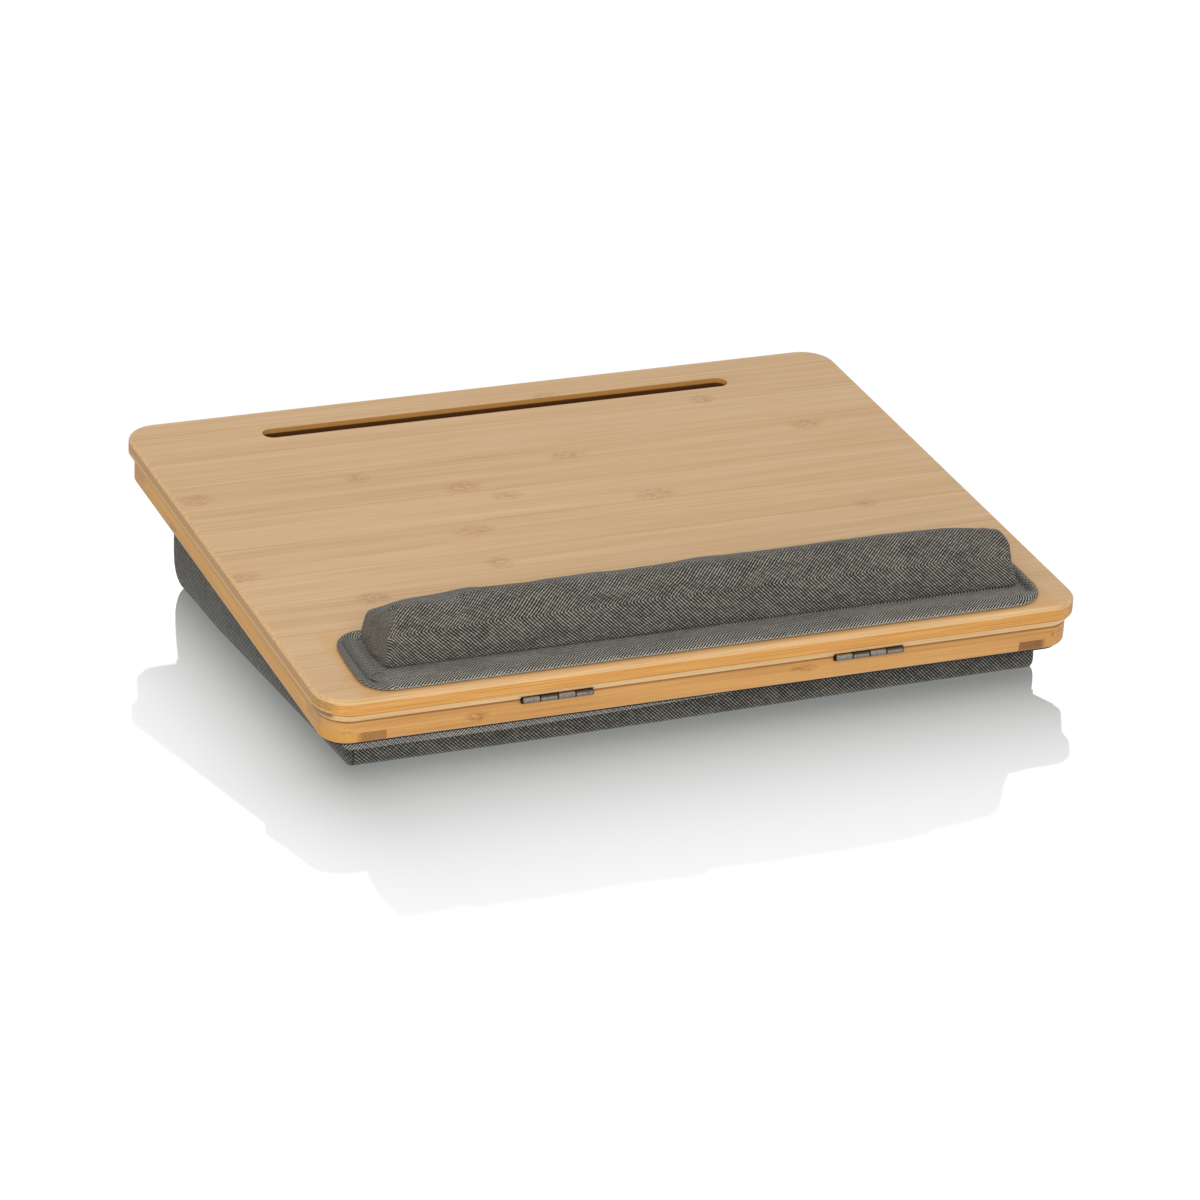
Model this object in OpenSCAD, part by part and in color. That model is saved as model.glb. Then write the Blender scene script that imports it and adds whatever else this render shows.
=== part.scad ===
// Lap desk with a lift lid: a bamboo writing board hinged along its front edge over a
// shallow half-lapped bamboo tray, which stands tilted on a wedge-shaped fabric cushion.
// Board coordinates: X to the right, Y from the tray's front face to the rear along the
// board, Z square to the board with zero on the hinge axis. on_board() tilts them into place.

/* [Stance] */
// Slope of the tray and lid, front edge low
stance_tilt = 7; // [3:0.5:12]
// Height of the hinge axis level above the lap, at the tray's front face
stance_front_height = 32.6; // [29:0.2:45]

/* [Lid board] */
// Lid from its left edge to its right edge
lid_width = 440; // [400:1:500]
// Lid from its front edge to its rear edge
lid_depth = 355; // [330:1:400]
// Lid board thickness
lid_thickness = 14.2; // [12:0.1:18]
// Plan radius of the lid's four corners
lid_corner_radius = 19; // [14:0.5:30]
// Rounding along the lid's top edge
lid_top_round = 3; // [1.5:0.1:4]
// How far the lid stands out past the tray all round, and the run of its lower bevel
lid_overhang = 3.6; // [2.5:0.1:5]
// Height of the bevel under the lid's edge
lid_bevel_height = 5; // [3:0.1:6]
// Air between the closed lid and the tray
parting_gap = 0.4; // [0.2:0.05:0.8]

/* [Tablet slot] */
// Tablet slot from end to end
slot_length = 289; // [200:1:320]
// Tablet slot from front to rear
slot_width = 12; // [8:0.5:16]
// Slot centre line to the lid's rear edge
slot_from_rear = 31; // [26:0.5:45]

/* [Tray frame] */
// Height of the tray's rails
rail_height = 13.4; // [12:0.1:24]
// Width of each rail, seen from above
rail_width = 33; // [20:0.5:45]
// Rounding along the tray's lower outer edge
rail_lower_round = 3.2; // [1:0.1:4.5]
// Thickness of the fabric-faced panel under the rails
floor_thickness = 1.5; // [1:0.1:3]
// Floor panel edge to the tray's outer face
floor_inset = 3.6; // [3.2:0.1:8]

/* [Hinges] */
// Length of each hinge
hinge_length = 40; // [30:1:60]
// Distance between the two hinge centres
hinge_spacing = 180.6; // [120:0.2:300]
// How far the pair of hinges is set to the right of the middle
hinge_shift = 1.4; // [-3:0.1:3]
// Leaf from the barrel's axis to its inner edge
hinge_leaf_width = 13; // [10:0.5:16]
// Sheet thickness of the leaves
hinge_leaf_thickness = 1; // [0.7:0.1:1.5]
// Outer diameter of the hinge barrel
hinge_barrel_diameter = 4; // [3.4:0.1:5]
// Diameter of the hinge pin
hinge_pin_diameter = 2; // [1.4:0.1:2.4]
// Hinge axis to the tray's front face
hinge_axis_forward = 1.2; // [0.8:0.1:1.8]
// Knuckles along one barrel, shared by the two leaves in turn
hinge_knuckles = 4; // [3:1:6]
// Gap between neighbouring knuckles
hinge_knuckle_gap = 0.25; // [0.15:0.05:0.5]
// Room round the barrel in the wood, and round each leaf in its recess
hinge_recess_clearance = 0.4; // [0.2:0.1:0.8]
// Running clearance between the pin and its bore, on the radius
hinge_pin_clearance = 0.05; // [0.03:0.01:0.1]
// Distance between the two screws of one leaf
screw_spacing = 24; // [16:1:26]
// Shank diameter of the hinge screws
screw_diameter = 2.2; // [1.8:0.1:2.6]
// Head diameter of the hinge screws
screw_head_diameter = 4.2; // [3.8:0.1:4.8]
// Length of the hinge screws
screw_length = 8; // [6:0.5:10]
// Clearance round a screw, on the radius
screw_clearance = 0.1; // [0.05:0.05:0.2]

/* [Wrist rest] */
// Wrist rest base from end to end, over its bound edge
rest_length = 395; // [300:1:410]
// Wrist rest base from front to rear, over its bound edge
rest_depth = 67; // [55:1:90]
// Corner radius of the wrist rest base
rest_corner_radius = 15; // [10:0.5:24]
// Base's front edge to the lid's front edge
rest_from_front = 4.8; // [0:0.1:20]
// How far the wrist rest is set to the right of the middle
rest_shift = 4; // [-5:0.5:5]
// Thickness of the flat base under the pad
rest_base_thickness = 2.2; // [1.5:0.1:4]
// Width of the rolled edge binding
rest_binding_width = 5; // [3:0.5:8]
// Height of the rolled edge binding
rest_binding_height = 3; // [2:0.1:4]
// Pad from end to end where it is longest
pad_length = 377; // [280:1:385]
// Pad from front to rear where it is deepest
pad_depth = 43; // [30:0.5:60]
// Pad's front to the front edge of the base
pad_from_front = 18.3; // [8:0.1:30]
// Height of the pad's crest above the base
pad_height = 32.6; // [20:0.2:45]
// Slope of the pad's top from its crest down to its rear edge
pad_slope = 23; // [0:1:28]
// How far the pad is set to the right of its base's middle
pad_shift = 2; // [-5:0.5:5]
// Plan radius of the pad's ends
pad_corner_radius = 9; // [5:0.5:15]
// Thickness of the pad's fabric cover
pad_cover_thickness = 1.2; // [0.8:0.1:2]

/* [Cushion] */
// Cushion side to the tray's side
cushion_side_inset = 14; // [8:0.5:40]
// Cushion front to the tray's front face
cushion_front_inset = 10.5; // [6:0.5:40]
// Cushion rear to the tray's rear face
cushion_rear_inset = 22; // [10:0.5:60]
// Plan radius of the cushion's corners
cushion_corner_radius = 15; // [8:0.5:40]
// How high the rounding along the cushion's foot reaches
cushion_foot_rise = 17; // [8:0.5:24]
// How far the cushion's foot would draw in if it were not flattened
cushion_foot_draw = 14; // [6:0.5:14]
// How far the filled sides swell past the bound edge
cushion_swell = 0.8; // [0:0.1:3]
// Depth of the flat on which the cushion rests
cushion_flat_depth = 0.5; // [0.3:0.1:1]
// Height of the tape that binds the cushion's top edge
tape_height = 7; // [4:0.5:12]
// Thickness of the binding tape
tape_thickness = 0.9; // [0.6:0.1:1.5]
// Thickness of the cushion's fabric cover
cover_thickness = 1.2; // [0.8:0.1:2]

/* [Fit] */
// Clearance between fabric pieces and what they are sewn or glued to
seam_clearance = 0.2; // [0.1:0.05:0.4]
// Clearance between a fabric cover and the foam or filling in it
filling_clearance = 0.6; // [0.4:0.1:1.5]

/* [Hidden] */
// Sides of a true circle, and of the plan corners of the soft forms
round_sides = 96;
soft_corner_steps = 6;
// A cut runs this far past the face that it opens
cut_margin = 1;
// How far pieces of one board run into each other
join_overlap = 2;
// Smallest plan radius that a soft form is drawn with
soft_least_radius = 0.4;
// Least height of the cushion's side between its flat levels and its tape
least_side_height = 1;

// Lid and tray in board coordinates
lid_front = -lid_overhang;
lid_rear = lid_front + lid_depth;
lid_middle = (lid_front + lid_rear) / 2;
lid_underside = parting_gap / 2;
lid_top = lid_underside + lid_thickness;
tray_top = -parting_gap / 2;
tray_width = lid_width - 2 * lid_overhang;
tray_depth = lid_depth - 2 * lid_overhang;
tray_corner_radius = lid_corner_radius - lid_overhang;
tray_underside = tray_top - rail_height;
lap_level = tray_top - rail_height / 2;
floor_underside = tray_underside - floor_thickness;

// The finished part stands with the middle of its outline over the origin
outline_front = (lid_front + lid_top_round) * cos(stance_tilt)
    - (lid_top - lid_top_round) * sin(stance_tilt) - lid_top_round;
outline_rear = lid_rear * cos(stance_tilt) - (lid_underside + lid_bevel_height) * sin(stance_tilt);
frame_shift = -(outline_front + outline_rear) / 2;

// Hinges
hinge_left_x = hinge_shift - hinge_spacing / 2;
hinge_right_x = hinge_shift + hinge_spacing / 2;
barrel_radius = hinge_barrel_diameter / 2;
bore_radius = hinge_pin_diameter / 2 + hinge_pin_clearance;
knuckle_pitch = (hinge_length + hinge_knuckle_gap) / hinge_knuckles;
barrel_room = barrel_radius + hinge_recess_clearance;
screw_line = (barrel_room - hinge_axis_forward + hinge_leaf_width - hinge_axis_forward) / 2;
screw_head_height = (screw_head_diameter - screw_diameter) / 2;

// Wrist rest in board coordinates
rest_front = lid_front + rest_from_front;
rest_middle = rest_front + rest_depth / 2;
base_top = lid_top + seam_clearance + rest_base_thickness;
pad_bottom = base_top + seam_clearance;
pad_front = rest_front + pad_from_front;
pad_middle = pad_front + pad_depth / 2;
pad_x = rest_shift + pad_shift;

// Cushion in finished coordinates
cushion_half = tray_width / 2 - cushion_side_inset;
cushion_front = frame_shift + cushion_front_inset;
cushion_rear = frame_shift + tray_depth * cos(stance_tilt) - cushion_rear_inset;
tape_seat = tape_thickness + seam_clearance;

function board_height(y, level) =
    stance_front_height + (y - frame_shift) * tan(stance_tilt) + level / cos(stance_tilt);

module on_board() {
    translate([0, frame_shift, stance_front_height])
        rotate([stance_tilt, 0, 0])
            children();
}

// The child is an edge profile with its outer face at zero, drawn inwards. It is run along
// the four sides of a rectangle and turned about the four corners.
module swept_edge(width, depth, radius) {
    for (side = [0, 1]) {
        mirror([0, side, 0])
            translate([0, depth / 2, 0])
                rotate([90, 0, 90])
                    linear_extrude(width - 2 * radius, center = true)
                        children();
        mirror([side, 0, 0])
            translate([width / 2, 0, 0])
                rotate([90, 0, 0])
                    linear_extrude(depth - 2 * radius, center = true)
                        children();
    }
    for (turn = [0 : 3])
        let (x_side = turn == 0 || turn == 3 ? 1 : -1)
        let (y_side = turn < 2 ? 1 : -1)
        translate([x_side * (width / 2 - radius), y_side * (depth / 2 - radius), 0])
            rotate([0, 0, 90 * turn])
                rotate_extrude(angle = 90, $fn = round_sides)
                    intersection() {
                        translate([radius, 0])
                            children();
                        square(2 * radius);
                    }
}

module rounded_slab(width, depth, radius, height) {
    linear_extrude(height)
        rounded_plan(width, depth, radius);
}

module rounded_plan(width, depth, radius) {
    square([width, depth - 2 * radius], center = true);
    square([width - 2 * radius, depth], center = true);
    for (x = [-1, 1], y = [-1, 1])
        translate([x * (width / 2 - radius), y * (depth / 2 - radius)])
            circle(r = radius, $fn = round_sides);
}

// The middle of a board inside its swept edge, which it enters by join_overlap on each side
module core_block(width, depth, radius, height) {
    reach = 2 * (radius - join_overlap);
    translate([0, 0, height / 2])
        cube([width - reach, depth - reach, height], center = true);
}

// The lid's edge: bevel below, straight face, rounded top
module lid_edge() {
    round_start = lid_thickness - lid_top_round;
    polygon([[-lid_corner_radius, 0], [-lid_overhang, 0], [0, lid_bevel_height], [0, round_start],
        [-lid_top_round, round_start], [-lid_top_round, lid_thickness], [-lid_corner_radius, lid_thickness]]);
    intersection() {
        translate([-lid_top_round, round_start])
            circle(r = lid_top_round, $fn = round_sides);
        translate([-lid_top_round, round_start])
            square(lid_top_round);
    }
}

// The tray's edge: square above, rounded below
module tray_edge() {
    polygon([[-tray_corner_radius, 0], [-rail_lower_round, 0], [-rail_lower_round, rail_lower_round],
        [0, rail_lower_round], [0, rail_height], [-tray_corner_radius, rail_height]]);
    intersection() {
        translate([-rail_lower_round, rail_lower_round])
            circle(r = rail_lower_round, $fn = round_sides);
        translate([-rail_lower_round, 0])
            square(rail_lower_round);
    }
}

// The wrist rest's binding: a flat tape with a half-round roll along its outer edge
module binding_edge() {
    roll = rest_binding_height / 2;
    translate([-rest_binding_width, 0])
        square([rest_binding_width - roll, rest_base_thickness]);
    translate([-roll, roll])
        circle(r = roll, $fn = round_sides);
}

module lid_board() {
    color("BurlyWood")
        on_board()
            difference() {
                translate([0, lid_middle, lid_underside]) {
                    swept_edge(lid_width, lid_depth, lid_corner_radius)
                        lid_edge();
                    core_block(lid_width, lid_depth, lid_corner_radius, lid_thickness);
                }
                tablet_slot_cut();
                for (x = [hinge_left_x, hinge_right_x])
                    translate([x, 0, 0]) {
                        leaf_recess_cut(1);
                        barrel_cut();
                        screw_cuts(1);
                    }
            }
}

module tablet_slot_cut() {
    straight = slot_length - slot_width;
    height = lid_thickness + 2 * cut_margin;
    translate([0, lid_rear - slot_from_rear, lid_underside - cut_margin]) {
        translate([0, 0, height / 2])
            cube([straight, slot_width, height], center = true);
        for (side = [-1, 1])
            translate([side * straight / 2, 0, 0])
                cylinder(h = height, r = slot_width / 2, $fn = round_sides);
    }
}

// Half-lapped tray frame: the side rails run through in the lower half of each corner and
// the front and rear rails run through in the upper half
module tray_form() {
    translate([0, tray_depth / 2, tray_underside]) {
        swept_edge(tray_width, tray_depth, tray_corner_radius)
            tray_edge();
        core_block(tray_width, tray_depth, tray_corner_radius, rail_height);
    }
}

// Front or rear rail, whose lower halves are cut away over the side rails. side is 0 in front.
module tray_cross_rail(side) {
    front_edge = side == 0 ? -cut_margin : tray_depth - rail_width;
    lap_height = rail_height / 2 + cut_margin;
    difference() {
        intersection() {
            tray_form();
            translate([-lid_width / 2, front_edge, tray_underside - cut_margin])
                cube([lid_width, rail_width + cut_margin, rail_height + 2 * cut_margin]);
        }
        for (left_edge = [-tray_width / 2 - cut_margin, tray_width / 2 - rail_width])
            translate([left_edge, -cut_margin, tray_underside - cut_margin])
                cube([rail_width + cut_margin, tray_depth + 2 * cut_margin, lap_height]);
    }
}

// Side rail, whose upper halves are cut away under the front and rear rails. side is -1 on the left.
module tray_side_rail(side) {
    left_edge = side < 0 ? -tray_width / 2 - cut_margin : tray_width / 2 - rail_width;
    lap_height = rail_height / 2 + cut_margin;
    difference() {
        intersection() {
            tray_form();
            translate([left_edge, -cut_margin, tray_underside - cut_margin])
                cube([rail_width + cut_margin, tray_depth + 2 * cut_margin, rail_height + 2 * cut_margin]);
        }
        for (front_edge = [-cut_margin, tray_depth - rail_width])
            translate([-lid_width / 2, front_edge, lap_level])
                cube([lid_width, rail_width + cut_margin, lap_height]);
    }
}

module hinge_cuts_in_tray() {
    for (x = [hinge_left_x, hinge_right_x])
        translate([x, 0, 0]) {
            leaf_recess_cut(-1);
            barrel_cut();
            screw_cuts(-1);
        }
}

module tray_front_rail() {
    color("Tan")
        on_board()
            difference() {
                tray_cross_rail(0);
                hinge_cuts_in_tray();
            }
}

module tray_rear_rail() {
    color("Tan") on_board() tray_cross_rail(1);
}

module tray_left_rail() {
    color("BurlyWood") on_board() tray_side_rail(-1);
}

module tray_right_rail() {
    color("BurlyWood") on_board() tray_side_rail(1);
}

module tray_floor() {
    color("DimGray")
        on_board()
            translate([0, tray_depth / 2, floor_underside])
                rounded_slab(tray_width - 2 * floor_inset, tray_depth - 2 * floor_inset,
                    tray_corner_radius - floor_inset, floor_thickness);
}

// Hinge pieces are drawn about the barrel's axis. side is 1 for the lid and -1 for the tray.
module leaf_recess_cut(side) {
    depth = hinge_leaf_thickness + parting_gap / 2;
    width = hinge_length + 2 * hinge_recess_clearance;
    run = hinge_leaf_width + hinge_recess_clearance;
    translate([-width / 2, -hinge_axis_forward, side > 0 ? 0 : -depth])
        cube([width, run, depth]);
}

module barrel_cut() {
    width = hinge_length + 2 * hinge_recess_clearance;
    reach = lid_overhang + cut_margin;
    translate([-width / 2, -reach, -barrel_room])
        cube([width, reach - hinge_axis_forward + barrel_room, 2 * barrel_room]);
}

module leaf_place() {
    translate([0, -hinge_axis_forward, 0])
        children();
}

module screw_places() {
    for (x = [-1, 1])
        translate([x * screw_spacing / 2, hinge_axis_forward + screw_line, 0])
            children();
}

module screw_cuts(side) {
    leaf_place()
        screw_places()
            mirror([0, 0, side > 0 ? 0 : 1])
                cylinder(h = screw_length + parting_gap / 2 + screw_clearance,
                    r = screw_diameter / 2 + screw_clearance, $fn = round_sides);
}

module barrel_piece(first, last_gap, radius) {
    start = -hinge_length / 2 + first * knuckle_pitch;
    translate([start, 0, 0])
        rotate([0, 90, 0])
            cylinder(h = knuckle_pitch - last_gap, r = radius, $fn = round_sides);
}

module hinge_leaf(side) {
    own = side > 0 ? 1 : 0;
    plate_start = barrel_radius + hinge_recess_clearance;
    plate_low = parting_gap / 2;
    tongue = knuckle_pitch - hinge_knuckle_gap;
    leaf_place()
        difference() {
            union() {
                mirror([0, 0, side > 0 ? 0 : 1]) {
                    translate([-hinge_length / 2, plate_start, plate_low])
                        cube([hinge_length, hinge_leaf_width - plate_start, hinge_leaf_thickness]);
                    for (i = [own : 2 : hinge_knuckles - 1])
                        translate([-hinge_length / 2 + i * knuckle_pitch, 0, plate_low])
                            cube([tongue, plate_start + hinge_leaf_thickness, hinge_leaf_thickness]);
                }
                for (i = [own : 2 : hinge_knuckles - 1])
                    barrel_piece(i, hinge_knuckle_gap, barrel_radius);
            }
            translate([-hinge_length / 2 - cut_margin, 0, 0])
                rotate([0, 90, 0])
                    cylinder(h = hinge_length + 2 * cut_margin, r = bore_radius, $fn = round_sides);
            screw_places()
                mirror([0, 0, side > 0 ? 0 : 1])
                    screw_shape(screw_clearance);
        }
}

// A countersunk screw, its head flush with the leaf's open face
module screw_shape(room) {
    head = screw_head_diameter / 2 + room;
    shank = screw_diameter / 2 + room;
    translate([0, 0, parting_gap / 2]) {
        cylinder(h = screw_head_height, r1 = head, r2 = shank, $fn = round_sides);
        cylinder(h = screw_length, r = shank, $fn = round_sides);
    }
}

module hinge_screws(side) {
    leaf_place()
        screw_places()
            mirror([0, 0, side > 0 ? 0 : 1])
                difference() {
                    screw_shape(0);
                    screw_recess();
                }
}

// Cross recess in the screw's head
module screw_recess() {
    length = screw_head_diameter * 0.55;
    width = screw_head_diameter * 0.14;
    depth = screw_head_height * 0.6;
    for (turn = [0, 90])
        rotate([0, 0, turn])
            translate([0, 0, parting_gap / 2])
                cube([length, width, 2 * depth], center = true);
}

module hinge_pin() {
    leaf_place()
        translate([-hinge_length / 2, 0, 0])
            rotate([0, 90, 0])
                cylinder(h = hinge_length, r = hinge_pin_diameter / 2, $fn = round_sides);
}

module at_hinge(x) {
    on_board()
        translate([x, 0, 0])
            children();
}

module hinge_left_lid_leaf() {
    color("Silver") at_hinge(hinge_left_x) hinge_leaf(1);
}

module hinge_left_tray_leaf() {
    color("DarkGray") at_hinge(hinge_left_x) hinge_leaf(-1);
}

module hinge_left_pin() {
    color("Gray") at_hinge(hinge_left_x) hinge_pin();
}

module hinge_left_lid_screws() {
    color("LightGray") at_hinge(hinge_left_x) hinge_screws(1);
}

module hinge_left_tray_screws() {
    color("LightGray") at_hinge(hinge_left_x) hinge_screws(-1);
}

module hinge_right_lid_leaf() {
    color("Silver") at_hinge(hinge_right_x) hinge_leaf(1);
}

module hinge_right_tray_leaf() {
    color("DarkGray") at_hinge(hinge_right_x) hinge_leaf(-1);
}

module hinge_right_pin() {
    color("Gray") at_hinge(hinge_right_x) hinge_pin();
}

module hinge_right_lid_screws() {
    color("LightGray") at_hinge(hinge_right_x) hinge_screws(1);
}

module hinge_right_tray_screws() {
    color("LightGray") at_hinge(hinge_right_x) hinge_screws(-1);
}

module wrist_rest_base() {
    inset = rest_binding_width + seam_clearance;
    color("SlateGray")
        on_board()
            translate([rest_shift, rest_middle, lid_top + seam_clearance])
                rounded_slab(rest_length - 2 * inset, rest_depth - 2 * inset,
                    rest_corner_radius - inset, rest_base_thickness);
}

module wrist_rest_binding() {
    color("DarkSlateGray")
        on_board()
            translate([rest_shift, rest_middle, lid_top + seam_clearance])
                swept_edge(rest_length, rest_depth, rest_corner_radius)
                    binding_edge();
}

// Plan outline of a soft form: points round a rectangle with rounded corners, which is
// drawn in from its outline by inset
function soft_outline(half_x, front, rear, radius, inset) = [
    for (corner = [0 : 3], step = [0 : soft_corner_steps])
        let (turn = 90 * (corner + step / soft_corner_steps))
        let (r = max(radius - inset, soft_least_radius))
        let (to_middle = max(radius, inset + soft_least_radius))
        let (x_side = corner == 0 || corner == 3 ? 1 : -1)
        let (x_mid = x_side * (half_x - to_middle))
        let (y_mid = corner < 2 ? rear - to_middle : front + to_middle)
        [x_mid + r * cos(turn), y_mid + r * sin(turn)]
];

function ring_middle(ring) = [for (axis = [0 : 2]) [for (p = ring) p[axis]] * [for (p = ring) 1] / len(ring)];

// A closed skin through a stack of rings, with a fan of triangles over the first and last
module ring_solid(rings) {
    count = len(rings);
    size = len(rings[0]);
    points = concat([for (ring = rings) each ring], [ring_middle(rings[0]), ring_middle(rings[count - 1])]);
    start_point = count * size;
    end_point = start_point + 1;
    faces = [
        for (i = [0 : size - 1])
            let (j = (i + 1) % size)
            each concat(
                [[start_point, i, j]],
                [for (k = [0 : count - 2]) each [
                    [k * size + i, (k + 1) * size + i, (k + 1) * size + j],
                    [k * size + i, (k + 1) * size + j, k * size + j]]],
                [[end_point, (count - 1) * size + j, (count - 1) * size + i]])
    ];
    polyhedron(points = points, faces = faces, convexity = 6);
}

// Pad: height shares and how far each level is drawn in, from the crest down to the seam
pad_levels = [[1, 1], [0.992, 0.78], [0.965, 0.56], [0.915, 0.37], [0.84, 0.22], [0.73, 0.105], [0.58, 0.03],
    [0.36, 0], [0.16, 0.03], [0, 0.11]];
pad_half_depth = pad_depth / 2;
pad_ridge = pad_depth * 0.035;
pad_crest_y = pad_middle - pad_depth * 0.2;
pad_crest_blend = pad_depth * 0.09;

// The pad's top is level over its front part and slopes down to its rear
function pad_crest(y, skin) =
    let (run = max(0, y - pad_crest_y))
    pad_height - skin - tan(pad_slope) * (sqrt(run * run + pad_crest_blend * pad_crest_blend) - pad_crest_blend);

function pad_rings(skin) = [
    for (level = pad_levels)
        let (draw = skin + level[1] * (pad_half_depth - skin - pad_ridge))
        [for (p = soft_outline(pad_length / 2, pad_front, pad_front + pad_depth, pad_corner_radius, draw))
            [pad_x + p[0], p[1], pad_bottom + level[0] * pad_crest(p[1], skin)]]
];

module wrist_rest_cover() {
    outer = pad_rings(0);
    inner = pad_rings(pad_cover_thickness);
    last = len(inner) - 1;
    color("DimGray")
        on_board()
            ring_solid(concat(outer, [for (i = [0 : last]) inner[last - i]]));
}

module wrist_rest_foam() {
    color("Khaki")
        on_board()
            ring_solid(pad_rings(pad_cover_thickness + filling_clearance));
}

// Cushion: the foot is part of an ellipse cut flat where it rests. Its levels lie flat up to
// just under the tape at the front, and the levels above fan out to the tape's lower edge.
foot_shares = [0, 0.05, 0.14, 0.28, 0.48, 0.72, 1];
side_shares = [0.16, 0.4, 0.7, 1];
side_stops = 5;
foot_half_height = cushion_foot_rise + cushion_flat_depth;
cover_top_level = floor_underside - seam_clearance;
tape_low_level = cover_top_level - tape_height;
filling_skin = cover_thickness + filling_clearance;
foot_top = board_height(cushion_front, tape_low_level) - seam_clearance - filling_skin - least_side_height;

function cushion_inset(height, side_height, skin) =
    let (below = max(0, cushion_foot_rise - height) / (foot_half_height - skin))
    skin + (cushion_foot_draw - skin) * (1 - sqrt(1 - min(1, below * below)))
    - cushion_swell * sin(180 * height / side_height);

// One point of the cushion's skin: place is a centre with a direction out of it
function cushion_point(place, inset, height) =
    let (reach = cushion_corner_radius - inset)
    [place[0] + reach * cos(place[2]), place[1] + reach * sin(place[2]), height];

function side_height_at(place) =
    board_height(place[1] + cushion_corner_radius * sin(place[2]), tape_low_level);

function cushion_foot_ring(share, skin) = [
    for (place = cushion_places)
        let (height = skin + share * (foot_top - skin))
        cushion_point(place, cushion_inset(height, side_height_at(place), skin), height)
];

function cushion_side_ring(share, skin) = [
    for (place = cushion_places)
        let (side_height = side_height_at(place))
        let (height = foot_top + share * (side_height - seam_clearance - skin - foot_top))
        cushion_point(place, cushion_inset(height, side_height, skin), height)
];

function cushion_top_ring(level, skin) = [
    for (place = cushion_places)
        let (flat = cushion_point(place, tape_seat + skin, 0))
        [flat[0], flat[1], board_height(flat[1], level)]
];

function cushion_corner_places(corner) =
    let (x_side = corner == 0 || corner == 3 ? 1 : -1)
    let (y_mid = corner < 2 ? cushion_rear - cushion_corner_radius : cushion_front + cushion_corner_radius)
    [for (step = [0 : soft_corner_steps])
        [x_side * (cushion_half - cushion_corner_radius), y_mid, 90 * (corner + step / soft_corner_steps)]];

// Stops along a side, from the rear to the front on the left and back on the right
function cushion_side_places(x_side) =
    let (low = cushion_front + cushion_corner_radius)
    let (high = cushion_rear - cushion_corner_radius)
    [for (stop = [1 : side_stops])
        let (share = stop / (side_stops + 1))
        [x_side * (cushion_half - cushion_corner_radius),
            x_side > 0 ? low + share * (high - low) : high - share * (high - low),
            x_side > 0 ? 0 : 180]];

cushion_places = concat(
    cushion_corner_places(0), cushion_corner_places(1), cushion_side_places(-1),
    cushion_corner_places(2), cushion_corner_places(3), cushion_side_places(1)
);

function cushion_rings(skin, top_level) = concat(
    [for (share = foot_shares) cushion_foot_ring(share, skin)],
    [for (share = side_shares) cushion_side_ring(share, skin)],
    [cushion_top_ring(tape_low_level - seam_clearance - skin, skin), cushion_top_ring(top_level, skin)]
);

module cushion_cover() {
    outer = cushion_rings(0, cover_top_level);
    inner = cushion_rings(cover_thickness, cover_top_level);
    last = len(outer) - 1;
    color("DarkSlateGray")
        ring_solid(concat(outer, [for (i = [0 : last]) inner[last - i]]));
}

module cushion_filling() {
    color("WhiteSmoke")
        ring_solid(cushion_rings(filling_skin, cover_top_level - seam_clearance));
}

// The tape runs round the cushion just under the floor panel
module cushion_binding() {
    middle = (cushion_front + cushion_rear) / 2;
    length = cushion_rear - cushion_front;
    tall = 2 * stance_front_height + lid_depth;
    color("Gray")
        intersection() {
            translate([0, middle, 0])
                difference() {
                    rounded_slab(2 * cushion_half, length, cushion_corner_radius, tall);
                    translate([0, 0, -cut_margin])
                        rounded_slab(2 * (cushion_half - tape_thickness), length - 2 * tape_thickness,
                            cushion_corner_radius - tape_thickness, tall + 2 * cut_margin);
                }
            on_board()
                translate([-lid_width / 2, -lid_depth / 2, tape_low_level])
                    cube([lid_width, 2 * lid_depth, tape_height]);
        }
}

lid_board();
wrist_rest_base();
wrist_rest_binding();
wrist_rest_cover();
wrist_rest_foam();
tray_front_rail();
tray_rear_rail();
tray_left_rail();
tray_right_rail();
tray_floor();
hinge_left_lid_leaf();
hinge_left_tray_leaf();
hinge_left_pin();
hinge_left_lid_screws();
hinge_left_tray_screws();
hinge_right_lid_leaf();
hinge_right_tray_leaf();
hinge_right_pin();
hinge_right_lid_screws();
hinge_right_tray_screws();
cushion_binding();
cushion_cover();
cushion_filling();
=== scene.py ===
"""Looks of the lap desk with lift lid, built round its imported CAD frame.

Lengths are in metres in the CAD's frame, except where a comment names the tilted board's frame, in mm.
"""

import math

import bpy
import numpy as np
from mathutils import Matrix, Vector, noise


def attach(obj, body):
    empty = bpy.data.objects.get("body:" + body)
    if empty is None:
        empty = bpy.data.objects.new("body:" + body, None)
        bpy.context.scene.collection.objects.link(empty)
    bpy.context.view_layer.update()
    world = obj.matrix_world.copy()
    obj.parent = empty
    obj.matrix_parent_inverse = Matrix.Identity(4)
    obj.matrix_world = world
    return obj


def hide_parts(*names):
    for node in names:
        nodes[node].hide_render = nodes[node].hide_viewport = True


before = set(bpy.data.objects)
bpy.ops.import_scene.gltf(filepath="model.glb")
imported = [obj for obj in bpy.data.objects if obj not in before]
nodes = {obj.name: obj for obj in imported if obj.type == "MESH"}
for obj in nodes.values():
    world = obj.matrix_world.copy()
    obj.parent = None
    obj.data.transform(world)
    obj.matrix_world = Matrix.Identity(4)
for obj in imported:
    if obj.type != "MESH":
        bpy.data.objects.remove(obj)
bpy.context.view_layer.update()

MM = 0.001
TILT = math.radians(7.0)
# the board's frame: u to the right, v up the slope and w out of it, in mm, from the front edge of the parting line
BOARD_ORIGIN = Vector((0.0, -0.171581, 0.0326))
BOARD_TURN = Matrix.Rotation(TILT, 3, "X")
LID_TOP = 14.4


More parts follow.
